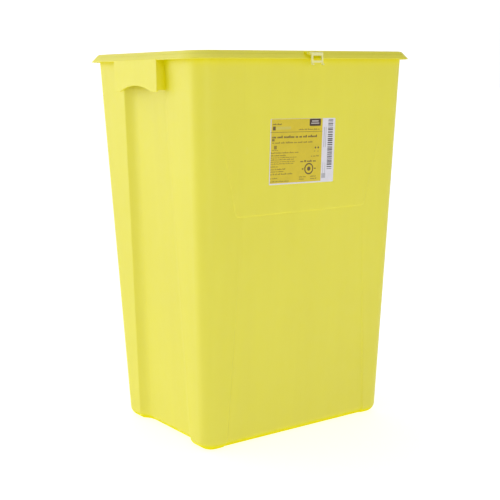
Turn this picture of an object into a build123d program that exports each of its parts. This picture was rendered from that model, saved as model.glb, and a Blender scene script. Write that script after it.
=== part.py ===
"""Large upright sharps and clinical-waste container with a hinged, latched lid.

Millimetres, +Z up. The origin is the middle of the underside of the base. The front, with the label
and the latch, faces -Y, the lid hinges on the +Y side, and the hand grips are on the -X and +X sides.
"""

import os
from math import cos, pi, radians, sin, sqrt

from build123d import *

# ---------------------------------------------------------------- driving dimensions
HEIGHT = 660.0  # top of the closed lid
WALL = 2.5  # side walls
FLOOR = 4.5  # floor of the container, before the hollow under it
SKIRT_FOOT = 646.5  # lower edge of the rim's skirt
RIM_TOP = 654.5  # flat sealing face of the rim

# Centres of the four rounded corners, as half lengths along X and Y, and the corners' outer radii
BASE_CENTRE = (167.4, 113.4)
BASE_RADIUS = 24.3
RIM_CENTRE = (190.5, 143.0)
RIM_RADIUS = 27.5
BASE_ROUNDING = 15.7  # rounding between walls and floor
ROUNDING_STEPS = 6

# Grip channels down both short sides, wider at the base so that empty containers nest
CHANNEL_HALF_BASE = 62.6  # half width of the channel's flat floor
CHANNEL_HALF_RIM = 42.0
CHANNEL_DEPTH_BASE = 11.0
CHANNEL_DEPTH_RIM = 12.0
CHANNEL_EDGE = 5.0  # rounding of the channel's outer edges
CHANNEL_CORNER = 30.0  # rounding between the channel's floor and its sides
LEAST_EDGE = 0.4  # smallest edge rounding left once the wall is offset inwards

# Shallow panels down both long sides: deepest at the base, gone at the foot of the label field
PANEL_DEPTH_BASE = 3.0
PANEL_DEPTH_LEDGE = 0.1
PANEL_HALF_BASE = 148.0
PANEL_HALF_LEDGE = 128.0
PANEL_EDGE = 2.5
PANEL_CORNER = 4.0
LEDGE_Z = 395.5

# Raised label field, a wedge that stands proudest at its foot and meets the wall at its top
FIELD_TOP = 557.0
FIELD_PROUD = 1.4
FIELD_CENTRE_X = -5.0
FIELD_HALF_FOOT = 135.0
FIELD_HALF_TOP = 174.0
FIELD_CORNER = 7.0
FIELD_BEVEL = 2.6  # how far the field's sloping edge spreads per FIELD_ROOT of depth
FIELD_ROOT = 2.0

# Rim skirt, as height and radius about the rim's corner centres, from its foot to its shoulder
TIP_RADIUS = 41.5
SHOULDER_RADIUS = 34.8
SKIRT_PROFILE = [
    (SKIRT_FOOT, 41.2),
    (647.0, TIP_RADIUS),
    (647.9, 41.4),
    (648.6, 40.9),
    (RIM_TOP, SHOULDER_RADIUS),
]
SKIRT_WALL = 2.0
SKIRT_HOLLOW_SPRING = SKIRT_FOOT + 0.8  # where the skirt's hollow starts to close
JOIN = 1.0  # how far joined shapes reach into each other, and cuts past a face

# Hand grip: an apron that hangs from the skirt on each short side
APRON_HALF = 70.5
APRON_FOOT = 596.0
APRON_WALL = 2.5
APRON_PROUD = 0.5
APRON_ARCH_HALF = 52.0
APRON_ARCH_RISE = 10.0
APRON_CORNER = 3.0
APRON_EDGE = 0.8  # rounding of its outer edges
CHEEK_WALL = 2.2  # the returns that close the grip at both ends

# Lid
LID_GAP = 0.1  # between the lid and the rim
LID_FOOT = RIM_TOP + LID_GAP
LID_UNDER = 657.4  # underside of the lid's border
LID_EDGE_PROFILE = [(LID_FOOT, 34.7), (656.8, 32.8), (658.3, 31.3), (659.4, 29.6), (HEIGHT, 27.0)]
TUB_HALF = (194.5, 147.0)  # mouth of the lid's sunken panel
TUB_CORNER = 26.0
TUB_DRAFT = 2.0  # how much smaller the panel's floor is all round
TUB_FLOOR = 654.0
LID_WALL = 2.5
RIB_COUNT = 5
RIB_PITCH = 62.0
RIB_WIDTH = 9.0
RIB_HALF_LENGTH = 108.0
RIB_HEIGHT = 1.6
RIB_DRAFT = 20.0  # degrees
PLUG_FOOT = 644.0
PLUG_WALL = 2.2
PLUG_CLEARANCE = 1.2

# Gasket between lid and rim
GASKET_INNER = 25.8
GASKET_OUTER = 29.3
GASKET_FOOT = 654.7
GASKET_GAP = 0.1  # between the gasket and its groove's outer wall

# Lid hinges, one station near each end of the rear edge
HINGE_X = 130.0
HINGE_Y = 191.0
HINGE_Z = 653.5
HINGE_PIN_RADIUS = 3.0
HINGE_RUNNING_GAP = 0.05
KNUCKLE_RADIUS = 5.5
KNUCKLE_HALF = 10.0
EAR_GAP = 0.5
EAR_WALL = 4.0
EAR_RADIUS = 6.5
PIN_HEAD_RADIUS = 4.6
PIN_HEAD = 1.6
LID_TRAVEL = 110.0  # degrees
STOP_REST_ANGLE = 40.0  # where the knuckle's heel points when the lid is shut, up from +Y
HEEL_REACH = 8.2
HEEL_WALL = 3.0
STOP_GAP = 0.4
STOP_INNER = 6.4  # nearest and farthest reach of the stop web from the hinge's axis
STOP_OUTER = 12.0
LUG_FOOT = 626.0  # lowest point of the lug on the rear wall
LUG_WEB_FOOT = 645.0
LUG_BACK = (180.0, 650.0)  # where the lug leaves the skirt, along Y and up Z
KNUCKLE_ARM_Y = 174.0  # where the knuckle's arm grows from the lid
KNUCKLE_ARM = (655.9, 659.4)
PIN_CHAMFER = 0.8
PIN_TAIL = 1.0  # how far the pin comes out of the inboard ear

# Front latch, a loop that hinges on the lid and snaps down in front of the skirt
LATCH_Y = -184.6
LATCH_Z = 655.4
LATCH_BARREL = 2.0
LATCH_HALF = 11.8
LATCH_LEG = 2.8
LATCH_WALL = 2.4
LATCH_FACE_Y = -191.8  # front of the hanging part
LATCH_TOP = 657.2
LATCH_SHOULDER = 1.6  # bevel along the front's upper edge
LATCH_BAR_FOOT = 640.2
LATCH_BAR_TOP = 643.4
LATCH_WINDOW_TOP = 651.5
LATCH_TOE = 636.6
LATCH_TOE_RISE = 2.4
LATCH_TOE_FLARE = 3.2
BARB_REACH = 7.0  # how far the barb stands in behind the hanging part's front
TRUNNION_RADIUS = 1.2
TRUNNION_GAP = 0.06
LUG_INNER = 12.4
LUG_OUTER = 15.2
LUG_RADIUS = 2.4
LUG_ROOT = [(-176.0, 659.0), (-174.0, 656.4), (-177.4, 655.4)]  # where it leaves the lid, along Y and up Z
TRUNNION_RECESS = 0.4  # how far the trunnion stays inside the lug's outer face

# Label on the front
LABEL_SIZE = (136.0, 108.0)
LABEL_CENTRE = (-9.0, 496.0)  # along X and up Z
LABEL_TURN = 0.9  # degrees clockwise
LABEL_WALL = 0.25
LABEL_CORNER = 1.5

# Absorbent pad on the floor
PAD_HALF = (156.0, 110.0)
PAD_CORNER = 22.0
PAD_THICKNESS = 6.0

# Hollow under the floor
UNDER_HALF = (140.0, 88.0)
UNDER_DEPTH = 1.5


# ---------------------------------------------------------------- outlines
def between(low, high, z, low_z=0.0, high_z=SKIRT_FOOT):
    """A size that changes evenly from low at low_z to high at high_z."""
    return low + (high - low) * (z - low_z) / (high_z - low_z)


def wall_half(axis, z):
    """Half the container's outer length (axis 0) or width (axis 1) at height z."""
    centre = between(BASE_CENTRE[axis], RIM_CENTRE[axis], z)
    return centre + between(BASE_RADIUS, RIM_RADIUS, z)


def step_points(flat_half, depth, edge, corner, inset):
    """An S-shaped step from a recess's floor up to the wall around it, in (along, outward) coordinates.

    The wall's own face is at outward 0. The corner arc stays centred as the wall is offset inwards.
    """
    corner_radius = corner + inset
    edge_radius = max(edge - inset, LEAST_EDGE)
    corner_centre = (flat_half, corner - depth)
    rise = corner_centre[1] + inset + edge_radius
    reach = corner_radius + edge_radius
    edge_centre = (flat_half + sqrt(reach**2 - rise**2), -inset - edge_radius)
    toward = ((edge_centre[0] - corner_centre[0]) / reach, (edge_centre[1] - corner_centre[1]) / reach)
    foot = (flat_half, -depth - inset)
    joint = (corner_centre[0] + toward[0] * corner_radius, corner_centre[1] + toward[1] * corner_radius)
    head = (edge_centre[0], -inset)
    return foot, middle(corner_centre, foot, joint), joint, middle(edge_centre, joint, head), head


def middle(centre, start, end):
    """The middle of the short arc from start to end about centre."""
    radius = sqrt((start[0] - centre[0]) ** 2 + (start[1] - centre[1]) ** 2)
    mean = ((start[0] + end[0]) / 2 - centre[0], (start[1] + end[1]) / 2 - centre[1])
    length = sqrt(mean[0] ** 2 + mean[1] ** 2)
    return centre[0] + mean[0] / length * radius, centre[1] + mean[1] / length * radius


def quadrant(z, inset):
    """A quarter of the container's outline at height z, offset inwards by inset.

    It runs from the front's middle to the +X side's. Each entry is a start, the middle of an arc
    or None for a line, and an end.
    """
    length, width = wall_half(0, z), wall_half(1, z)
    radius = between(BASE_RADIUS, RIM_RADIUS, z)
    share = min(z / LEDGE_Z, 1.0)
    panel_half = PANEL_HALF_BASE + (PANEL_HALF_LEDGE - PANEL_HALF_BASE) * share
    panel_depth = PANEL_DEPTH_BASE + (PANEL_DEPTH_LEDGE - PANEL_DEPTH_BASE) * share
    channel_half = between(CHANNEL_HALF_BASE, CHANNEL_HALF_RIM, z)
    channel_depth = between(CHANNEL_DEPTH_BASE, CHANNEL_DEPTH_RIM, z)
    front = [
        (along, -width - outward)
        for along, outward in step_points(panel_half, panel_depth, PANEL_EDGE, PANEL_CORNER, inset)
    ]
    side = [
        (length + outward, -along)
        for along, outward in step_points(channel_half, channel_depth, CHANNEL_EDGE, CHANNEL_CORNER, inset)
    ]
    centre = (length - radius, -(width - radius))
    reach = radius - inset
    corner_start = (centre[0], centre[1] - reach)
    corner_end = (centre[0] + reach, centre[1])
    return [
        ((0.0, front[0][1]), None, front[0]),
        (front[0], front[1], front[2]),
        (front[2], front[3], front[4]),
        (front[4], None, corner_start),
        (corner_start, middle(centre, corner_start, corner_end), corner_end),
        (corner_end, None, side[4]),
        (side[4], side[3], side[2]),
        (side[2], side[1], side[0]),
        (side[0], None, (side[0][0], 0.0)),
    ]


def mirrored(pieces, sign_x, sign_y):
    """Outline pieces turned into another quadrant, reversed when only one sign changes."""
    turned = []
    for piece in pieces:
        points = [None if point is None else (point[0] * sign_x, point[1] * sign_y) for point in piece]
        turned.append(tuple(points))
    if sign_x * sign_y > 0:
        return turned
    return [piece[::-1] for piece in turned[::-1]]


def outline(z, inset=0.0, level=None):
    """The container's closed outline at height z, offset inwards by inset, drawn at level."""
    level = z if level is None else level
    quarter = quadrant(z, inset)
    edges = []
    for sign_x, sign_y in ((1, 1), (1, -1), (-1, -1), (-1, 1)):
        for start, mid, end in mirrored(quarter, sign_x, sign_y):
            if mid is None:
                edges.append(Line((*start, level), (*end, level)))
            else:
                edges.append(ThreePointArc((*start, level), (*mid, level), (*end, level)))
    return Face(Wire(edges))


def rim_outline(radius, level):
    """A rounded rectangle about the rim's corner centres, drawn at level."""
    sketch = RectangleRounded(2 * (RIM_CENTRE[0] + radius), 2 * (RIM_CENTRE[1] + radius), radius)
    return Pos(0, 0, level) * sketch


def stack(sections):
    """A solid with straight sides between each section and the next."""
    return loft(sections, ruled=True)


def rim_stack(profile):
    """A solid whose edge follows (height, radius) pairs all the way round the rim."""
    return stack([rim_outline(radius, height) for height, radius in profile])


def rounded_tub(floor_z, rounding, inset, top):
    """The container's volume offset inwards by inset, with a rounded foot that starts at floor_z."""
    sections = []
    for step in range(ROUNDING_STEPS):
        angle = pi / 2 * step / ROUNDING_STEPS
        z = floor_z + rounding * (1 - cos(angle))
        sections.append(outline(z, inset + rounding * (1 - sin(angle))))
    for z in (floor_z + rounding, LEDGE_Z):
        sections.append(outline(z, inset))
    sections.append(outline(SKIRT_FOOT, inset, level=SKIRT_FOOT))
    sections.append(outline(SKIRT_FOOT, inset, level=top))
    return stack(sections)


def slab(section, plane, start, end):
    """A sketch's outline on a plane, made solid from start to end along the plane's normal."""
    return extrude(plane.offset(start) * section, amount=end - start)


SIDE_VIEW = Plane(origin=(0, 0, 0), x_dir=(0, 1, 0), z_dir=(1, 0, 0))  # local X is +Y, local Y is +Z


def side_disc(y, z, radius):
    """A disc in the side view."""
    return Pos(y, z) * Circle(radius)


# ---------------------------------------------------------------- container
def field_plane():
    """The front face of the label field, with its origin at the middle of the field's foot."""
    foot = Vector(0, -wall_half(1, LEDGE_Z) - FIELD_PROUD, LEDGE_Z)
    top = Vector(0, -wall_half(1, FIELD_TOP), FIELD_TOP)
    outward = Vector(1, 0, 0).cross((top - foot).normalized())
    return Plane(origin=foot, x_dir=(1, 0, 0), z_dir=outward)


def field_outline(spread, depth):
    """The label field's outline, spread outwards all round, at a depth behind its face."""
    height = FIELD_TOP - LEDGE_Z
    outline_points = Polygon(
        (-FIELD_HALF_FOOT - spread, -spread),
        (FIELD_HALF_FOOT + spread, -spread),
        (FIELD_HALF_TOP + spread, height),
        (-FIELD_HALF_TOP - spread, height),
        align=None,
    )
    rounded = fillet(outline_points.vertices(), FIELD_CORNER + spread)
    return field_plane().offset(-depth) * (Pos(FIELD_CENTRE_X, 0) * rounded)


def label_field():
    """The raised wedge that carries the label, with sloping edges."""
    return stack([field_outline(FIELD_BEVEL, FIELD_ROOT), field_outline(0.0, 0.0)])


def skirt():
    """The flared rim, open underneath."""
    outside = rim_stack(SKIRT_PROFILE)
    inside = rim_stack(
        [
            (SKIRT_FOOT - JOIN, TIP_RADIUS - SKIRT_WALL),
            (SKIRT_HOLLOW_SPRING, TIP_RADIUS - SKIRT_WALL),
            (RIM_TOP - SKIRT_WALL, SHOULDER_RADIUS - SKIRT_WALL / 2),
        ]
    )
    return outside - inside


def apron():
    """The hand grip that hangs from the skirt on the -X side."""
    foot, arch = APRON_FOOT, APRON_ARCH_RISE
    with BuildSketch(Plane.XY) as grip:
        with BuildLine():
            low_left = (-APRON_HALF, foot)
            high_left = (-APRON_HALF, SKIRT_FOOT + JOIN)
            high_right = (APRON_HALF, SKIRT_FOOT + JOIN)
            low_right = (APRON_HALF, foot)
            start, end = (-APRON_ARCH_HALF, foot), (APRON_ARCH_HALF, foot)
            Polyline(start, low_left, high_left, high_right, low_right, end)
            ThreePointArc(end, (0, foot + arch), start)
        make_face()
        low = grip.vertices().filter_by(lambda v: abs(v.Y - foot) < 0.01)
        fillet(low.filter_by(lambda v: abs(v.X) > APRON_HALF - 0.1), APRON_CORNER)
    face_x = -(RIM_CENTRE[0] + TIP_RADIUS + APRON_PROUD)
    plate = slab(grip.sketch, SIDE_VIEW, face_x, face_x + APRON_WALL)
    rim = plate.edges().filter_by_position(Axis.X, face_x - 0.1, face_x + 0.1)
    return fillet(rim.filter_by_position(Axis.Z, 0, SKIRT_FOOT), APRON_EDGE)


def grip_cheek(side):
    """The return at one end of the -X grip, from its apron back to the wall."""
    face_x = -(RIM_CENTRE[0] + TIP_RADIUS + APRON_PROUD) + APRON_WALL / 2
    low, high = APRON_FOOT + APRON_CORNER, SKIRT_FOOT + JOIN
    wall_low, wall_high = (-(wall_half(0, z) - JOIN) for z in (low, high))
    section = make_face(Polyline((face_x, low), (wall_low, low), (wall_high, high), (face_x, high), close=True))
    start, end = sorted((side * (APRON_HALF - CHEEK_WALL), side * APRON_HALF))
    upright = extrude(Rot(90, 0, 0) * section, amount=end - start, dir=(0, 1, 0))
    return Pos(0, start, 0) * upright


def hinge_lug(x):
    """Two ears and a stop web on the rear of the rim, for one hinge station."""
    wall_y = wall_half(1, SKIRT_FOOT) - JOIN
    stop_angle = radians(STOP_REST_ANGLE - LID_TRAVEL)
    out = (cos(stop_angle), sin(stop_angle))
    ahead = (sin(stop_angle), -cos(stop_angle))
    near, far = HEEL_WALL / 2 + STOP_GAP, HEEL_WALL / 2 + STOP_GAP + HEEL_WALL

    def stop_point(reach, offset):
        return HINGE_Y + out[0] * reach + ahead[0] * offset, HINGE_Z + out[1] * reach + ahead[1] * offset

    corners = ((STOP_INNER, near), (STOP_OUTER, near), (STOP_OUTER, far), (STOP_INNER, far))
    web_points = [stop_point(reach, offset) for reach, offset in corners]
    web = make_face(Polyline(*web_points, close=True))
    body_points = [(wall_y, LUG_FOOT), (wall_y, LUG_WEB_FOOT), LUG_BACK]
    frame = Polyline(*body_points, *web_points, close=True).edges()
    body = make_hull(frame + side_disc(HINGE_Y, HINGE_Z, EAR_RADIUS).edges())
    bore = side_disc(HINGE_Y, HINGE_Z, HINGE_PIN_RADIUS)
    inner = KNUCKLE_HALF + EAR_GAP
    outer = inner + EAR_WALL
    lug = slab(body - bore, SIDE_VIEW, x + inner, x + outer)
    lug += slab(body - bore, SIDE_VIEW, x - outer, x - inner)
    return lug + slab(web, SIDE_VIEW, x - inner, x + inner)


def container():
    """The one-piece moulded container: floor, walls, grips, rim and hinge lugs."""
    outside = rounded_tub(0.0, BASE_ROUNDING, 0.0, RIM_TOP)
    cavity = rounded_tub(FLOOR, BASE_ROUNDING - WALL, WALL, RIM_TOP + JOIN)
    shape = outside + skirt()
    grip = apron() + grip_cheek(-1) + grip_cheek(1)
    shape += grip
    shape += mirror(grip, Plane.YZ)
    for x in (-HINGE_X, HINGE_X):
        shape += hinge_lug(x)
    shape += label_field()
    shape -= cavity
    hollow = RectangleRounded(2 * UNDER_HALF[0], 2 * UNDER_HALF[1], BASE_RADIUS)
    return shape - extrude(hollow, amount=UNDER_DEPTH)


# ---------------------------------------------------------------- lid
def tub_outline(grow, level):
    """The sunken panel's outline, grown outwards all round, drawn at level."""
    size = [2 * (half + grow) for half in TUB_HALF]
    return Pos(0, 0, level) * RectangleRounded(*size, TUB_CORNER + grow)


def lid():
    """The hinged lid: border, sunken ribbed panel, plug rib, knuckles and latch lugs."""
    shape = rim_stack(LID_EDGE_PROFILE)
    groove = rim_outline(GASKET_OUTER, LID_FOOT - JOIN)
    shape -= extrude(groove, amount=LID_UNDER - LID_FOOT + JOIN)
    tub = [(LID_WALL - TUB_DRAFT, TUB_FLOOR - LID_WALL), (LID_WALL, HEIGHT)]
    shape += stack([tub_outline(grow, level) for grow, level in tub])
    sunk = [(-TUB_DRAFT, TUB_FLOOR), (0.0, HEIGHT)]
    shape -= stack([tub_outline(grow, level) for grow, level in sunk])
    plug = outline(SKIRT_FOOT, WALL + PLUG_CLEARANCE, level=PLUG_FOOT)
    plug -= outline(SKIRT_FOOT, WALL + PLUG_CLEARANCE + PLUG_WALL, level=PLUG_FOOT)
    shape += extrude(plug, amount=LID_UNDER - PLUG_FOOT)
    for number in range(RIB_COUNT):
        x = (number - (RIB_COUNT - 1) / 2) * RIB_PITCH
        rib = SlotOverall(2 * RIB_HALF_LENGTH, RIB_WIDTH, rotation=90)
        shape += extrude(Pos(x, 0, TUB_FLOOR) * rib, amount=RIB_HEIGHT, taper=RIB_DRAFT)
    bore = side_disc(HINGE_Y, HINGE_Z, HINGE_PIN_RADIUS + HINGE_RUNNING_GAP)
    for x in (-HINGE_X, HINGE_X):
        shape += hinge_knuckle(x)
        shape -= slab(bore, SIDE_VIEW, x - KNUCKLE_HALF - JOIN, x + KNUCKLE_HALF + JOIN)
    for side in (-1, 1):
        shape += latch_lug(side)
    return shape


def hinge_knuckle(x):
    """The arm and barrel that turn on a hinge pin, with the heel that stops the lid."""
    low, high = KNUCKLE_ARM
    reach = HINGE_Y - KNUCKLE_ARM_Y
    arm = Pos(KNUCKLE_ARM_Y + reach / 2, (low + high) / 2) * Rectangle(reach, high - low)
    heel = Rot(0, 0, STOP_REST_ANGLE) * (Pos(HEEL_REACH / 2, 0) * Rectangle(HEEL_REACH, HEEL_WALL))
    section = arm + side_disc(HINGE_Y, HINGE_Z, KNUCKLE_RADIUS) + Pos(HINGE_Y, HINGE_Z) * heel
    return slab(section, SIDE_VIEW, x - KNUCKLE_HALF, x + KNUCKLE_HALF)


def latch_lug(side):
    """One of the lid's two lugs that carry the latch."""
    root = Polyline(*LUG_ROOT, close=True).edges()
    section = make_hull(root + side_disc(LATCH_Y, LATCH_Z, LUG_RADIUS).edges())
    section -= side_disc(LATCH_Y, LATCH_Z, TRUNNION_RADIUS + TRUNNION_GAP)
    start, end = sorted((side * LUG_INNER, side * LUG_OUTER))
    return slab(section, SIDE_VIEW, start, end)


def gasket():
    """The sealing ring in the lid's groove."""
    ring = rim_outline(GASKET_OUTER - GASKET_GAP, GASKET_FOOT) - rim_outline(GASKET_INNER, GASKET_FOOT)
    return extrude(ring, amount=LID_UNDER - GASKET_FOOT)


def hinge_pin(side):
    """A headed pin, pushed in from the outboard side of its lug."""
    reach = KNUCKLE_HALF + EAR_GAP + EAR_WALL
    x = side * HINGE_X
    start, end = sorted((x + side * reach, x - side * (reach + PIN_TAIL)))
    shaft = slab(side_disc(HINGE_Y, HINGE_Z, HINGE_PIN_RADIUS), SIDE_VIEW, start, end)
    tail = shaft.edges().filter_by(GeomType.CIRCLE).sort_by(Axis.X)[0 if side > 0 else -1]
    shaft = chamfer(tail, PIN_CHAMFER)
    start, end = sorted((x + side * reach, x + side * (reach + PIN_HEAD)))
    return shaft + slab(side_disc(HINGE_Y, HINGE_Z, PIN_HEAD_RADIUS), SIDE_VIEW, start, end)


# ---------------------------------------------------------------- latch
def latch():
    """The hanging loop: a barrel on two trunnions, two legs, a cross bar with a barb, and flared toes."""
    front, back = LATCH_FACE_Y, LATCH_FACE_Y + LATCH_WALL
    toe_tip = front - LATCH_TOE_FLARE
    strap = Polyline(
        (LATCH_Y, LATCH_TOP),
        (front + LATCH_SHOULDER, LATCH_TOP),
        (front, LATCH_TOP - LATCH_SHOULDER),
        (front, LATCH_TOE + LATCH_TOE_RISE),
        (toe_tip, LATCH_TOE + LATCH_TOE_RISE / 2),
        (toe_tip, LATCH_TOE),
        (back - LATCH_WALL / 2, LATCH_TOE),
        (back, LATCH_TOE + LATCH_TOE_RISE),
        (back, LATCH_Z - LATCH_BARREL),
        (LATCH_Y, LATCH_Z - LATCH_BARREL),
        close=True,
    )
    shape = slab(make_face(strap), SIDE_VIEW, -LATCH_HALF, LATCH_HALF)
    opening = LATCH_HALF - LATCH_LEG
    for low, high in ((LATCH_TOE - JOIN, LATCH_BAR_FOOT), (LATCH_BAR_TOP, LATCH_WINDOW_TOP)):
        gap_centre = ((toe_tip + back) / 2, (low + high) / 2)
        gap = Pos(*gap_centre) * Rectangle(back - toe_tip + 2 * JOIN, high - low)
        shape -= slab(gap, SIDE_VIEW, -opening, opening)
    barb = Polyline(
        (back, LATCH_BAR_TOP),
        (front + BARB_REACH, LATCH_BAR_TOP),
        (back, LATCH_BAR_FOOT),
        close=True,
    )
    shape += slab(make_face(barb), SIDE_VIEW, -opening, opening)
    shape += slab(side_disc(LATCH_Y, LATCH_Z, LATCH_BARREL), SIDE_VIEW, -LATCH_HALF, LATCH_HALF)
    reach = LUG_OUTER - TRUNNION_RECESS
    return shape + slab(side_disc(LATCH_Y, LATCH_Z, TRUNNION_RADIUS), SIDE_VIEW, -reach, reach)


# ---------------------------------------------------------------- label and pad
def label():
    """The adhesive label, lying on its raised field."""
    x, z = LABEL_CENTRE
    sheet = Rot(0, 0, -LABEL_TURN) * RectangleRounded(*LABEL_SIZE, LABEL_CORNER)
    return slab(Pos(x, z - LEDGE_Z) * sheet, field_plane(), 0, LABEL_WALL)


def pad():
    """The absorbent pad that lies on the floor."""
    sheet = RectangleRounded(2 * PAD_HALF[0], 2 * PAD_HALF[1], PAD_CORNER)
    return extrude(Pos(0, 0, FLOOR) * sheet, amount=PAD_THICKNESS)


# ---------------------------------------------------------------- parts
def main():
    """Writes every part to its own file."""
    parts = {
        "container_body": container(),
        "lid": lid(),
        "lid_gasket": gasket(),
        "hinge_pin_left": hinge_pin(-1),
        "hinge_pin_right": hinge_pin(1),
        "front_latch": latch(),
        "front_label": label(),
        "absorbent_pad": pad(),
    }
    os.makedirs("parts", exist_ok=True)
    for name, shape in parts.items():
        export_step(shape, f"parts/{name}.step")


main()
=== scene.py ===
"""Looks of the upright sharps container. Metres, in the same frame as the CAD model."""

import math
import random

import bmesh
import bpy
from mathutils import Matrix, Vector


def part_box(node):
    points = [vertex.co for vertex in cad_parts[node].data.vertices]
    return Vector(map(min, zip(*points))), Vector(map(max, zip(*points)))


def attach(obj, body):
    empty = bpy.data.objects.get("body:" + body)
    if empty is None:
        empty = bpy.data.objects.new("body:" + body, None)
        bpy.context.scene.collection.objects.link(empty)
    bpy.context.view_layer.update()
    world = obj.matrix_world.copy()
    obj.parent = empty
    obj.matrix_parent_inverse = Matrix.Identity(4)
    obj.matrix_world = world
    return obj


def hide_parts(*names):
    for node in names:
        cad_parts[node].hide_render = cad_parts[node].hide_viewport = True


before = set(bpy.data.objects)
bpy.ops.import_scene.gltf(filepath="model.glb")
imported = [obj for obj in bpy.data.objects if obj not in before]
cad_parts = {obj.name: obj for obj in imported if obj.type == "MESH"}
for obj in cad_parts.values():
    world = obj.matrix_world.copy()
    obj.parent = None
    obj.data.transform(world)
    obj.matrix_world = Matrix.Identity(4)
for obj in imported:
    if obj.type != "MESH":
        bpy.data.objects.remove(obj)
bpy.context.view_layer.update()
MM = 0.001


# ---------------------------------------------------------------- camera
CAMERA_DISTANCE = 1.8632  # from the container's axis, along the floor
CAMERA_YAW = math.radians(35.294)  # how far the camera stands round from the front towards -X
CAMERA_PITCH = math.radians(-9.391)
CAMERA_ROLL = math.radians(-0.585)
CAMERA_HEIGHT = 0.615
CAMERA_ASIDE = -0.00225  # to the right of the line through the container's axis
SENSOR = 36.0
LENS = 74.43


def make_camera():
    """The camera, at the photograph's viewing angle."""
    ahead = Vector((math.sin(CAMERA_YAW), math.cos(CAMERA_YAW), 0.0))
    right = Vector((math.cos(CAMERA_YAW), -math.sin(CAMERA_YAW), 0.0))
    forward = ahead * math.cos(CAMERA_PITCH) + Vector((0, 0, math.sin(CAMERA_PITCH)))
    up = right.cross(forward)
    turned_right = right * math.cos(CAMERA_ROLL) + up * math.sin(CAMERA_ROLL)
    turned_up = up * math.cos(CAMERA_ROLL) - right * math.sin(CAMERA_ROLL)
    data = bpy.data.cameras.new("camera")
    data.sensor_width = SENSOR
    data.lens = LENS
    data.clip_start = 0.05
    data.clip_end = 50.0
    camera = bpy.data.objects.new("camera", data)
    place = -ahead * CAMERA_DISTANCE + right * CAMERA_ASIDE + Vector((0, 0, CAMERA_HEIGHT))
    rotation = Matrix((turned_right, turned_up, -forward)).transposed().to_4x4()
    camera.matrix_world = Matrix.Translation(place) @ rotation
    bpy.context.scene.collection.objects.link(camera)
    bpy.context.scene.camera = camera


make_camera()


# ---------------------------------------------------------------- studio
BACKDROP_AIM = (-0.17, 0.98, 0.0)  # towards the middle of the white backdrop
BACKDROP_WHITE = 1.25  # brightness of the backdrop behind the container
BACKDROP_CORE = 0.8  # cosine of the angle from its middle up to which it is fully bright
BACKDROP_EDGE = 0.0  # cosine of the angle at which it has faded into the surroundings
SURROUND = 0.41  # brightness of the rest of the room
FLOOR_HALF = 40.0  # half the floor's side
FLOOR_TONE = 0.5
FLOOR_GLOW = 0.72  # a white floor lit from below, as on a light table


def area_light(name, place, aim, size, power):
    """A soft rectangular light that faces aim."""
    data = bpy.data.lights.new(name, "AREA")
    data.shape = "RECTANGLE"
    data.size, data.size_y = size
    data.energy = power
    light = bpy.data.objects.new(name, data)
    light.location = place
    light.rotation_mode = "QUATERNION"
    light.rotation_quaternion = (Vector(aim) - Vector(place)).to_track_quat("-Z", "Y")
    bpy.context.scene.collection.objects.link(light)


def make_room():
    """White light from all round, brightest from the backdrop. Seen directly, the room is white all over."""
    world = bpy.data.worlds.new("studio")
    world.use_nodes = True
    tree = world.node_tree
    direction = tree.nodes.new("ShaderNodeTexCoord").outputs["Generated"]
    facing = tree.nodes.new("ShaderNodeVectorMath")
    facing.operation = "DOT_PRODUCT"
    facing.inputs[1].default_value = BACKDROP_AIM
    brightness = tree.nodes.new("ShaderNodeMapRange")
    brightness.interpolation_type = "SMOOTHSTEP"
    limits = (BACKDROP_EDGE, BACKDROP_CORE, SURROUND, BACKDROP_WHITE)
    for index, value in enumerate(limits, start=1):
        brightness.inputs[index].default_value = value
    tree.links.new(direction, facing.inputs[0])
    tree.links.new(facing.outputs["Value"], brightness.inputs[0])
    seen = tree.nodes.new("ShaderNodeLightPath").outputs["Is Camera Ray"]
    strength = tree.nodes.new("ShaderNodeMath")
    strength.operation = "MAXIMUM"
    tree.links.new(seen, strength.inputs[0])
    tree.links.new(brightness.outputs["Result"], strength.inputs[1])
    tree.links.new(strength.outputs["Value"], tree.nodes["Background"].inputs["Strength"])
    tree.nodes["Background"].inputs["Color"].default_value = (1.0, 1.0, 1.0, 1.0)
    bpy.context.scene.world = world


def make_floor():
    """A plain pale floor."""
    half = FLOOR_HALF
    mesh = bpy.data.meshes.new("floor")
    ground = [(-half, -half, 0), (half, -half, 0), (half, half, 0), (-half, half, 0)]
    mesh.from_pydata(ground, [], [(0, 1, 2, 3)])
    floor = bpy.data.objects.new("floor", mesh)
    bpy.context.scene.collection.objects.link(floor)
    material = bpy.data.materials.new("floor")
    material.use_nodes = True
    shader = material.node_tree.nodes["Principled BSDF"]
    shader.inputs["Base Color"].default_value = (FLOOR_TONE, FLOOR_TONE, FLOOR_TONE, 1.0)
    shader.inputs["Roughness"].default_value = 0.8
    shader.inputs["Specular IOR Level"].default_value = 0.2
    shader.inputs["Emission Color"].default_value = (1.0, 1.0, 1.0, 1.0)
    shader.inputs["Emission Strength"].default_value = FLOOR_GLOW
    mesh.materials.append(material)


bpy.context.scene.view_settings.view_transform = "Standard"
make_room()
make_floor()
area_light("left_panel", (-2.6, 2.4, 0.9), (0, 0, 0.4), (2.6, 1.7), 14)
area_light("front_key", (-0.5, -2.7, 1.1), (0, 0, 0.4), (0.7, 0.7), 6.5)
area_light("overhead", (0.0, -0.2, 3.0), (0, 0, 0), (3.0, 3.0), 14.5)


# ---------------------------------------------------------------- material tools
def new_material(name):
    """An empty node material: its tree and its surface shader."""
    material = bpy.data.materials.new(name)
    material.use_nodes = True
    tree = material.node_tree
    return material, tree, tree.nodes["Principled BSDF"]


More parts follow.
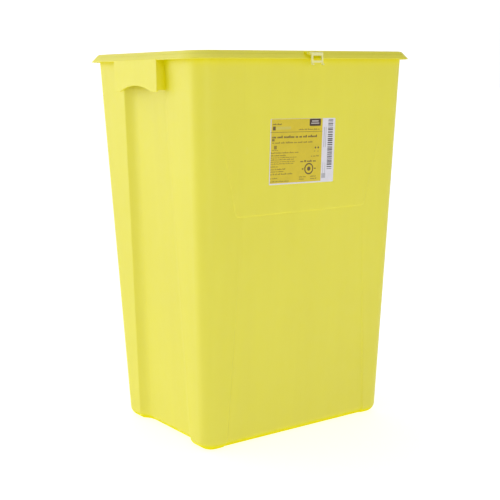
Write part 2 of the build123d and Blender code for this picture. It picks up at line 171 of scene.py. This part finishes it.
def add(tree, kind, settings=None, **inputs):
    """A node with some settings and input values. An input given a socket is linked to it."""
    node = tree.nodes.new("ShaderNode" + kind)
    for name, value in (settings or {}).items():
        setattr(node, name, value)
    for name, value in inputs.items():
        socket = node.inputs[int(name[1:])] if name[0] == "_" else node.inputs[name.replace("_", " ")]
        if isinstance(value, bpy.types.NodeSocket):
            tree.links.new(value, socket)
        else:
            socket.default_value = value
    return node


def noise(tree, coords, scale, detail=2.0, roughness=0.5, distortion=0.0):
    """A noise pattern's grey value."""
    node = add(tree, "TexNoise", Vector=coords, Scale=scale, Detail=detail, Roughness=roughness)
    node.inputs["Distortion"].default_value = distortion
    return node.outputs["Fac"]


def stretched(tree, coords, scale):
    """The coordinates, scaled unevenly."""
    return add(tree, "Mapping", Vector=coords, Scale=scale).outputs["Vector"]


def remap(tree, value, low, high, to_low=0.0, to_high=1.0):
    """A value moved from one range to another, and kept inside it."""
    node = add(tree, "MapRange", _0=value, _1=low, _2=high, _3=to_low, _4=to_high)
    return node.outputs["Result"]


def math_node(tree, operation, first, second):
    """The sum, product or other simple operation of two values."""
    return add(tree, "Math", {"operation": operation}, _0=first, _1=second).outputs["Value"]


def mixed(tree, factor, first, second):
    """Two colours mixed by a factor."""
    node = add(tree, "Mix", {"data_type": "RGBA"})
    for index, value in ((0, factor), (6, first), (7, second)):
        if isinstance(value, bpy.types.NodeSocket):
            tree.links.new(value, node.inputs[index])
        else:
            node.inputs[index].default_value = value
    return node.outputs[2]


def bumped(tree, height, distance, normal=None):
    """A surface normal disturbed by a height pattern."""
    node = add(tree, "Bump", Height=height, Distance=distance, Strength=1.0)
    if normal is not None:
        tree.links.new(normal, node.inputs["Normal"])
    return node.outputs["Normal"]


# ---------------------------------------------------------------- moulded plastic
YELLOW = (0.835, 0.77, 0.008, 1.0)
DEEP_YELLOW = (0.805, 0.735, 0.004, 1.0)
# Painted highlight: the latch is the same yellow plastic, paled to look as if it catches the light.
HIGHLIGHT_PALED_YELLOW = (0.86, 0.83, 0.34, 1.0)
SCUFF_TONE = (0.86, 0.84, 0.45, 1.0)
SCUFF_SHARE = 0.08  # how far a scuff changes the colour
SCUFF_ROUGHNESS = 0.12
FLOW_STRETCH = (26.0, 26.0, 1.6)  # flow marks are long up the walls
SCUFF_STRETCH = (14.0, 90.0, 5.0)
SMOOTH, DULL = 0.47, 0.56  # roughness
REFRACTION = 1.58
# Painted shade: within this reach, ambient occlusion turns the sheen down.
GAP_SHADE_REACH = 0.02  # how near another surface begins to dim the sheen
TRANSLUCENCY = 0.1
GLOW_DEPTH = 0.006  # how far light spreads inside the plastic


def worn_colour(tree, coords, scuffs, tone, deep_tone):
    """Two tones mixed by mottling and flow marks, with pale scuffs."""
    mottle = math_node(tree, "MULTIPLY", noise(tree, coords, 5.0, 3.0, 0.55), 0.55)
    streaks = noise(tree, stretched(tree, coords, FLOW_STRETCH), 1.0, 4.0, 0.6, 0.4)
    flow = math_node(tree, "MULTIPLY", streaks, 0.45)
    blend = remap(tree, math_node(tree, "ADD", mottle, flow), 0.36, 0.64)
    colour = mixed(tree, blend, tone, deep_tone)
    return mixed(tree, math_node(tree, "MULTIPLY", scuffs, SCUFF_SHARE), colour, SCUFF_TONE)


def moulded_plastic(name, tone, deep_tone):
    """Polyethylene as it leaves the mould: faint mottling and flow marks, fine grain, light scuffs, and
    painted shade that dims the sheen in narrow gaps.
    """
    material, tree, shader = new_material(name)
    coords = add(tree, "TexCoord").outputs["Object"]
    scratches = noise(tree, stretched(tree, coords, SCUFF_STRETCH), 5.0, 5.0, 0.75, 0.8)
    scuffs = remap(tree, scratches, 0.64, 0.74)
    tree.links.new(worn_colour(tree, coords, scuffs, tone, deep_tone), shader.inputs["Base Color"])
    rough = remap(tree, noise(tree, coords, 60.0, 3.0, 0.6), 0.3, 0.7, SMOOTH, DULL)
    rough = math_node(tree, "ADD", rough, math_node(tree, "MULTIPLY", scuffs, SCUFF_ROUGHNESS))
    tree.links.new(rough, shader.inputs["Roughness"])
    wave = bumped(tree, noise(tree, coords, 9.0, 1.5), 0.0007)
    peel = bumped(tree, noise(tree, coords, 210.0, 2.0), 0.00006, wave)
    grain = bumped(tree, noise(tree, coords, 1900.0, 2.0, 0.7), 0.00002, peel)
    tree.links.new(grain, shader.inputs["Normal"])
    # Painted shade: ambient occlusion turns the sheen down in narrow gaps and under the rim, beyond what the
    # lighting itself gives.
    gap_shade_mask = add(tree, "AmbientOcclusion", {"samples": 6}, Distance=GAP_SHADE_REACH).outputs["AO"]
    tree.links.new(remap(tree, gap_shade_mask, 0.5, 0.85), shader.inputs["Specular IOR Level"])
    shader.inputs["IOR"].default_value = REFRACTION
    shader.inputs["Subsurface Weight"].default_value = TRANSLUCENCY
    shader.inputs["Subsurface Radius"].default_value = (1.0, 0.85, 0.06)
    shader.inputs["Subsurface Scale"].default_value = GLOW_DEPTH
    return material


def wear(node, material):
    """Gives a CAD node its material."""
    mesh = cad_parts[node].data
    mesh.materials.clear()
    mesh.materials.append(material)


wear("container_body", moulded_plastic("container_plastic", YELLOW, DEEP_YELLOW))
wear("lid", moulded_plastic("lid_plastic", YELLOW, DEEP_YELLOW))
# The latch's paler tone is painted highlight.
wear("front_latch", moulded_plastic("latch_plastic", HIGHLIGHT_PALED_YELLOW, HIGHLIGHT_PALED_YELLOW))
pin_plastic = moulded_plastic("pin_plastic", YELLOW, DEEP_YELLOW)
for side in ("left", "right"):
    wear("hinge_pin_" + side, pin_plastic)


# ---------------------------------------------------------------- piece tools
def new_piece(name, verts, faces, material, body="container"):
    """A mesh piece that rides on a body."""
    mesh = bpy.data.meshes.new(name)
    mesh.from_pydata(verts, [], faces)
    mesh.materials.append(material)
    piece = bpy.data.objects.new(name, mesh)
    bpy.context.scene.collection.objects.link(piece)
    shape = bmesh.new()
    shape.from_mesh(mesh)
    bmesh.ops.recalc_face_normals(shape, faces=shape.faces)
    shape.to_mesh(mesh)
    shape.free()
    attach(piece, body)
    return piece


def stacked(rings):
    """Vertices and faces of a closed shape skinned over rings of equally many points."""
    count = len(rings[0])
    verts = [point for ring in rings for point in ring]
    faces = []
    for level in range(len(rings) - 1):
        for i in range(count):
            j = (i + 1) % count
            low, high = level * count, (level + 1) * count
            faces.append((low + i, low + j, high + j, high + i))
    faces.append(tuple(range(count)))
    faces.append(tuple(range(len(verts) - count, len(verts))))
    return verts, faces


def rounded_outline(x0, y0, x1, y1, radius, steps=6):
    """The corner points of a rounded rectangle, in order."""
    points = []
    left, right = x0 + radius, x1 - radius
    low, high = y0 + radius, y1 - radius
    for turn, (x, y) in enumerate(((right, low), (right, high), (left, high), (left, low))):
        for step in range(steps + 1):
            angle = math.radians(90 * (turn - 1) + 90 * step / steps)
            points.append((x + radius * math.cos(angle), y + radius * math.sin(angle)))
    return points


# ---------------------------------------------------------------- label
LABEL_SIZE = (136.0, 108.0)  # mm, as all sizes on the label are
LABEL_TURN = math.radians(0.9)
LABEL_CORNER = 1.5
FILM_THICKNESS = 0.25
FILM_EDGE = 0.06  # softening of the film's edge
PRINT_FOOT = 0.22  # printed shapes start here, just inside the film, above the label's back
PANEL_TOP = 0.265
INK_TOP = 0.29
HEADINGS = (  # left, right, foot and size of each line of heading
    (4.6, 24.0, 9.8, 2.4),
    (4.0, 99.0, 31.6, 4.4),
    (4.0, 15.0, 36.4, 4.0),
    (64.0, 100.6, 72.6, 3.4),
)
SMALL_LINES = (  # right, foot and size of the lines under the main text
    (17, 79, 1.9),
    (33, 83.6, 2.4),
    (32, 87.2, 2.2),
    (52, 91.8, 2.8),
    (20, 98.2, 2.2),
    (42, 103.6, 2.2),
)
RING_AT = (82.3, 84.0)
RING_TICK = 13.0  # from the ring's middle to the tick on each side


class LabelSheet:
    """Places points given in mm from the label's top left corner, to the right, down and outwards."""

    def __init__(self):
        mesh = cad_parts["front_label"].data
        front = max((face for face in mesh.polygons if face.normal.y < 0), key=lambda face: face.area)
        low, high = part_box("front_label")
        self.outward = front.normal.copy()
        flat_right = Vector((1, 0, 0))
        flat_up = self.outward.cross(flat_right)
        self.right = flat_right * math.cos(LABEL_TURN) - flat_up * math.sin(LABEL_TURN)
        self.up = self.outward.cross(self.right)
        back = (low + high) / 2 - self.outward * FILM_THICKNESS / 2 * MM
        self.corner = back - self.right * LABEL_SIZE[0] / 2 * MM + self.up * LABEL_SIZE[1] / 2 * MM

    def place(self, x, y, height):
        """A point on the label, at a height above its back."""
        return self.corner + (self.right * x - self.up * y + self.outward * height) * MM


def printed(name, shapes, top, material):
    """A piece made of thin closed slabs on the label, one per outline."""
    verts, faces = [], []
    for shape in shapes:
        rings = [[sheet.place(x, y, height) for x, y in shape] for height in (PRINT_FOOT, top)]
        slab_verts, slab_faces = stacked(rings)
        faces += [tuple(index + len(verts) for index in face) for face in slab_faces]
        verts += slab_verts
    return new_piece(name, verts, faces, material)


def block(x0, y0, x1, y1):
    """A rectangle's outline."""
    return [(x0, y0), (x1, y0), (x1, y1), (x0, y1)]


def disc(x, y, radius, steps=28):
    """A circle's outline."""
    turns = [2 * math.pi * step / steps for step in range(steps)]
    return [(x + radius * math.cos(a), y + radius * math.sin(a)) for a in turns]


def blind_line(x0, x1, foot, size):
    """A line of blind type: words made of plain blocks, with no letters."""
    blocks = []
    x = x0
    while x < x1 - size:
        for _ in range(chance.randint(2, 8)):
            if x + size / 2 > x1:
                break
            height = size * chance.choice((0.6, 0.6, 0.65, 0.95))
            blocks.append(block(x, foot - height, x + size * 0.48, foot))
            x += size * 0.62
        x += size * 0.55
    return blocks


def ring(x, y, outer, inner, steps=14):
    """A ring drawn as two half rings."""
    halves = []
    for start in (0.0, math.pi):
        turns = [start + math.pi * step / steps for step in range(steps + 1)]
        outside = [(x + outer * math.cos(a), y + outer * math.sin(a)) for a in turns]
        inside = [(x + inner * math.cos(a), y + inner * math.sin(a)) for a in reversed(turns)]
        halves.append(outside + inside)
    return halves


def bars(x0, x1, y0, y1, thin, thick):
    """Plain bars of random thickness across x, stacked along y."""
    shapes = []
    y = y0
    while y < y1 - thick:
        step = chance.uniform(thin, thick)
        shapes.append(block(x0, y, x1, y + step))
        y += step + chance.uniform(thin, thick)
    return shapes


def paper(name, tone, roughness=0.42):
    """Printed or plain label film, with a faint mottle and a slightly uneven face."""
    material, tree, shader = new_material(name)
    coords = add(tree, "TexCoord").outputs["Object"]
    worn = tuple(channel * 0.93 for channel in tone[:3]) + (1.0,)
    colour = mixed(tree, remap(tree, noise(tree, coords, 70.0, 5.0, 0.65), 0.35, 0.65), tone, worn)
    tree.links.new(colour, shader.inputs["Base Color"])
    sheen = remap(tree, noise(tree, coords, 190.0, 3.0), 0.3, 0.7, roughness - 0.05, roughness + 0.07)
    tree.links.new(sheen, shader.inputs["Roughness"])
    ripple = bumped(tree, noise(tree, coords, 35.0, 2.0), 0.00025)
    fibre = bumped(tree, noise(tree, coords, 2400.0, 2.0), 0.000012, ripple)
    tree.links.new(fibre, shader.inputs["Normal"])
    return material


def film_piece():
    """The label's white film, with rounded corners and a softened edge."""
    width, height = LABEL_SIZE
    rings = []
    for inset, level in ((0.0, 0.0), (0.0, FILM_THICKNESS - FILM_EDGE), (FILM_EDGE, FILM_THICKNESS)):
        edge = rounded_outline(inset, inset, width - inset, height - inset, LABEL_CORNER - inset)
        rings.append([sheet.place(x, y, level) for x, y in edge])
    return new_piece("label_film", *stacked(rings), paper("label_film", (0.80, 0.78, 0.84, 1.0)))


def dark_print():
    """The darkest print: a square, a rule, headings, two dots and the ring mark."""
    shapes = [block(4.6, 12.4, 10.3, 18.6), block(0.8, 21.7, 108.4, 22.3)]
    for left, right, foot, size in HEADINGS:
        shapes += blind_line(left, right, foot, size)
    shapes += [disc(95.0, 49.0, 1.7), disc(101.0, 49.0, 1.7)]
    x, y = RING_AT
    shapes += ring(x, y, 9.6, 7.4) + [disc(x, y, 3.6)]
    for tick_x in (x - RING_TICK, x + RING_TICK):
        shapes.append(block(tick_x - 1.6, y - 1.0, tick_x + 1.6, y + 1.0))
    return shapes


def fine_print():
    """The fine print: lines of blind type and a small square."""
    shapes = blind_line(58.0, 103.0, 19.3, 2.6) + blind_line(4.6, 89.0, 40.4, 3.2)
    shapes += [block(8.0, 43.7, 13.7, 49.6)] + blind_line(4.0, 17.0, 52.0, 1.6)
    shapes += blind_line(2.0, 60.0, 56.6, 2.6) + blind_line(2.0, 34.0, 60.8, 2.4)
    for foot in (64.2, 67.6, 71.0, 74.4):
        shapes += blind_line(2.0, chance.uniform(48.0, 60.0), foot, 2.0)
    shapes += blind_line(86.0, 104.0, 64.0, 2.4)
    shapes += blind_line(92.0, 96.0, 55.6, 1.8) + blind_line(99.0, 103.0, 55.6, 1.8)
    for right, foot, size in SMALL_LINES:
        shapes += blind_line(2.0, right, foot, size)
    for left in (62.0, 86.0):
        shapes += blind_line(left, left + 15.0, 98.0, 2.4) + blind_line(left, left + 13.0, 101.8, 2.4)
    return shapes


def grey_print():
    """Grey marks beside the stripes: narrow columns and a square."""
    long_columns = [block(112.0, 15.0, 113.6, 48.7), block(115.8, 15.0, 117.2, 48.7)]
    short_columns = [block(112.0, 75.0, 112.9, 93.0), block(116.4, 75.0, 117.3, 93.0)]
    return long_columns + [block(109.8, 93.0, 118.5, 101.0)] + short_columns


sheet = LabelSheet()
chance = random.Random(41)
film = film_piece()
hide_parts("front_label")

panel = [rounded_outline(1.5, 0.4, 108.6, 105.8, 0.8)]
printed("label_panel", panel, PANEL_TOP, paper("label_yellow", (0.74, 0.575, 0.02, 1.0)))
dark, fine = dark_print(), fine_print()
printed("label_type", dark, INK_TOP, paper("label_dark_ink", (0.14, 0.09, 0.025, 1.0)))
printed("label_fine_type", fine, INK_TOP, paper("label_fine_ink", (0.33, 0.235, 0.02, 1.0)))
pale_bar = [block(11.6, 12.8, 42.0, 17.6)]
printed("label_pale_bar", pale_bar, PANEL_TOP + 0.01, paper("label_pale_ink", (0.70, 0.60, 0.10, 1.0)))
badge = [rounded_outline(80.5, 0.8, 104.5, 12.8, 1.6)]
printed("label_badge", badge, INK_TOP, paper("label_badge", (0.065, 0.033, 0.022, 1.0)))
badge_lines = [block(85.5, 3.6, 99.5, 5.6), block(84.0, 7.4, 101.0, 9.2)]
badge_ink = paper("label_badge_pale", (0.55, 0.50, 0.46, 1.0))
printed("label_badge_lines", badge_lines, INK_TOP + 0.02, badge_ink)
stripes = bars(121.0, 131.4, 2.7, 89.4, 0.5, 2.3)
printed("label_stripes", stripes, INK_TOP, paper("label_stripe_ink", (0.09, 0.075, 0.085, 1.0)))
printed("label_grey_marks", grey_print(), INK_TOP, paper("label_grey_ink", (0.50, 0.49, 0.53, 1.0)))


# ---------------------------------------------------------------- gasket
GASKET_STEPS = 14
GASKET_WIDTH = 0.0033
GASKET_CORNER = 0.0292
GASKET_ROUNDING = 0.0009  # of its foot's two edges


def foam(name, tone, scale):
    """Closed-cell foam: fine pores with painted shade in them, and a soft, dull face."""
    material, tree, shader = new_material(name)
    coords = add(tree, "TexCoord").outputs["Object"]
    cells = add(tree, "TexVoronoi", Vector=coords, Scale=scale).outputs["Distance"]
    # Painted shade: the foam is darker in its pores, where shade falls in the hollows.
    pore_shade_tone = tuple(channel * 0.72 for channel in tone[:3]) + (1.0,)
    tree.links.new(mixed(tree, remap(tree, cells, 0.1, 0.7), pore_shade_tone, tone), shader.inputs["Base Color"])
    dull = remap(tree, noise(tree, coords, 90.0, 3.0), 0.3, 0.7, 0.7, 0.9)
    tree.links.new(dull, shader.inputs["Roughness"])
    tree.links.new(bumped(tree, cells, 0.0002), shader.inputs["Normal"])
    return material


def gasket_piece():
    """The sealing ring, with a rounded foot."""
    (x0, y0, z0), (x1, y1, z1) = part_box("lid_gasket")
    rounding, third = GASKET_ROUNDING, GASKET_ROUNDING / 3
    outer_half = [(0.0, z1), (0.0, z0 + rounding), (third, z0 + third), (rounding, z0)]
    inner_half = [(GASKET_WIDTH - inset, level) for inset, level in reversed(outer_half)]
    loops = []
    for inset, level in outer_half + inner_half:
        corner = GASKET_CORNER - inset
        outline = rounded_outline(x0 + inset, y0 + inset, x1 - inset, y1 - inset, corner, GASKET_STEPS)
        loops.append([(x, y, level) for x, y in outline])
    count = len(loops[0])
    verts = [point for loop in loops for point in loop]
    faces = []
    for row in range(len(loops)):
        low, high = row * count, (row + 1) % len(loops) * count
        for i in range(count):
            j = (i + 1) % count
            faces.append((low + i, low + j, high + j, high + i))
    grey_foam = foam("gasket_foam", (0.30, 0.31, 0.32, 1.0), 900.0)
    return new_piece("gasket_ring", verts, faces, grey_foam, "lid")


gasket = gasket_piece()
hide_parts("lid_gasket")


# ---------------------------------------------------------------- absorbent pad
PAD_COLUMNS = 104
PAD_ROWS = 74
QUILT_PITCH = 0.044
PAD_EDGE = 0.012  # how far in from its edge the pad reaches full thickness
PAD_SEAM = 0.18  # thickness at the edge, at the stitches and added by a puff, as shares of the full one
PAD_STITCH = 0.36
PAD_PUFF = 0.36
PAD_LUMPS = 0.06


def pad_piece():
    """A quilted pad of absorbent fibre, stitched in diamonds and pinched at its edge."""
    (x0, y0, z0), (x1, y1, z1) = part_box("absorbent_pad")
    half = ((x1 - x0) / 2, (y1 - y0) / 2)
    full = z1 - z0

    def thickness(x, y):
        across, along = (x + y) / QUILT_PITCH, (x - y) / QUILT_PITCH
        puff = abs(math.sin(math.pi * across)) * abs(math.sin(math.pi * along))
        margin = max(0.0, min(half[0] - abs(x), half[1] - abs(y)))
        rim = min(1.0, margin / PAD_EDGE)
        lumps = PAD_LUMPS * math.sin(61 * x + 3) * math.sin(53 * y + 1)
        return full * (PAD_SEAM + rim**0.5 * (PAD_STITCH + PAD_PUFF * puff**0.45 + lumps))

    tops, feet = [], []
    for row in range(PAD_ROWS + 1):
        y = -half[1] + 2 * half[1] * row / PAD_ROWS
        for column in range(PAD_COLUMNS + 1):
            x = -half[0] + 2 * half[0] * column / PAD_COLUMNS
            squeeze = corner_squeeze(x, y, half)
            tops.append((x * squeeze, y * squeeze, z0 + thickness(x, y)))
            feet.append((x * squeeze, y * squeeze, z0))
    stride = PAD_COLUMNS + 1
    faces = []
    for row in range(PAD_ROWS):
        for column in range(PAD_COLUMNS):
            corner = row * stride + column
            quad = (corner, corner + 1, corner + 1 + stride, corner + stride)
            faces += [quad, tuple(len(tops) + index for index in reversed(quad))]
    border = list(range(PAD_COLUMNS))
    border += [PAD_COLUMNS + row * stride for row in range(PAD_ROWS)]
    border += [PAD_ROWS * stride + column for column in range(PAD_COLUMNS, 0, -1)]
    border += [row * stride for row in range(PAD_ROWS, 0, -1)]
    for start, end in zip(border, border[1:] + border[:1]):
        faces.append((start, end, len(tops) + end, len(tops) + start))
    piece = new_piece("absorbent_pad_quilt", tops + feet, faces, fibre_cloth())
    for face in piece.data.polygons:
        face.use_smooth = True
    return piece


def corner_squeeze(x, y, half):
    """How far a point is drawn in so that the pad's corners are round."""
    reach = max(abs(x) / half[0], abs(y) / half[1])
    if reach == 0:
        return 1.0
    round_reach = ((abs(x) / half[0]) ** 8 + (abs(y) / half[1]) ** 8) ** (1 / 8)
    return reach / round_reach


GREY_WHITE = (0.70, 0.71, 0.70, 1.0)
WHITE = (0.86, 0.87, 0.86, 1.0)


def fibre_cloth():
    """White non-woven fibre: fine threads, faint fluff and a dull face."""
    material, tree, shader = new_material("pad_fibre")
    coords = add(tree, "TexCoord").outputs["Object"]
    threads = noise(tree, stretched(tree, coords, (900.0, 260.0, 900.0)), 1.0, 5.0, 0.75, 1.2)
    clouds = noise(tree, coords, 28.0, 4.0)
    thread_share = math_node(tree, "MULTIPLY", threads, 0.6)
    blend = math_node(tree, "ADD", thread_share, math_node(tree, "MULTIPLY", clouds, 0.4))
    colour = mixed(tree, remap(tree, blend, 0.35, 0.65), GREY_WHITE, WHITE)
    tree.links.new(colour, shader.inputs["Base Color"])
    tree.links.new(remap(tree, threads, 0.3, 0.7, 0.8, 0.95), shader.inputs["Roughness"])
    tree.links.new(bumped(tree, threads, 0.0003), shader.inputs["Normal"])
    shader.inputs["Sheen Weight"].default_value = 0.25
    return material


pad = pad_piece()
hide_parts("absorbent_pad")
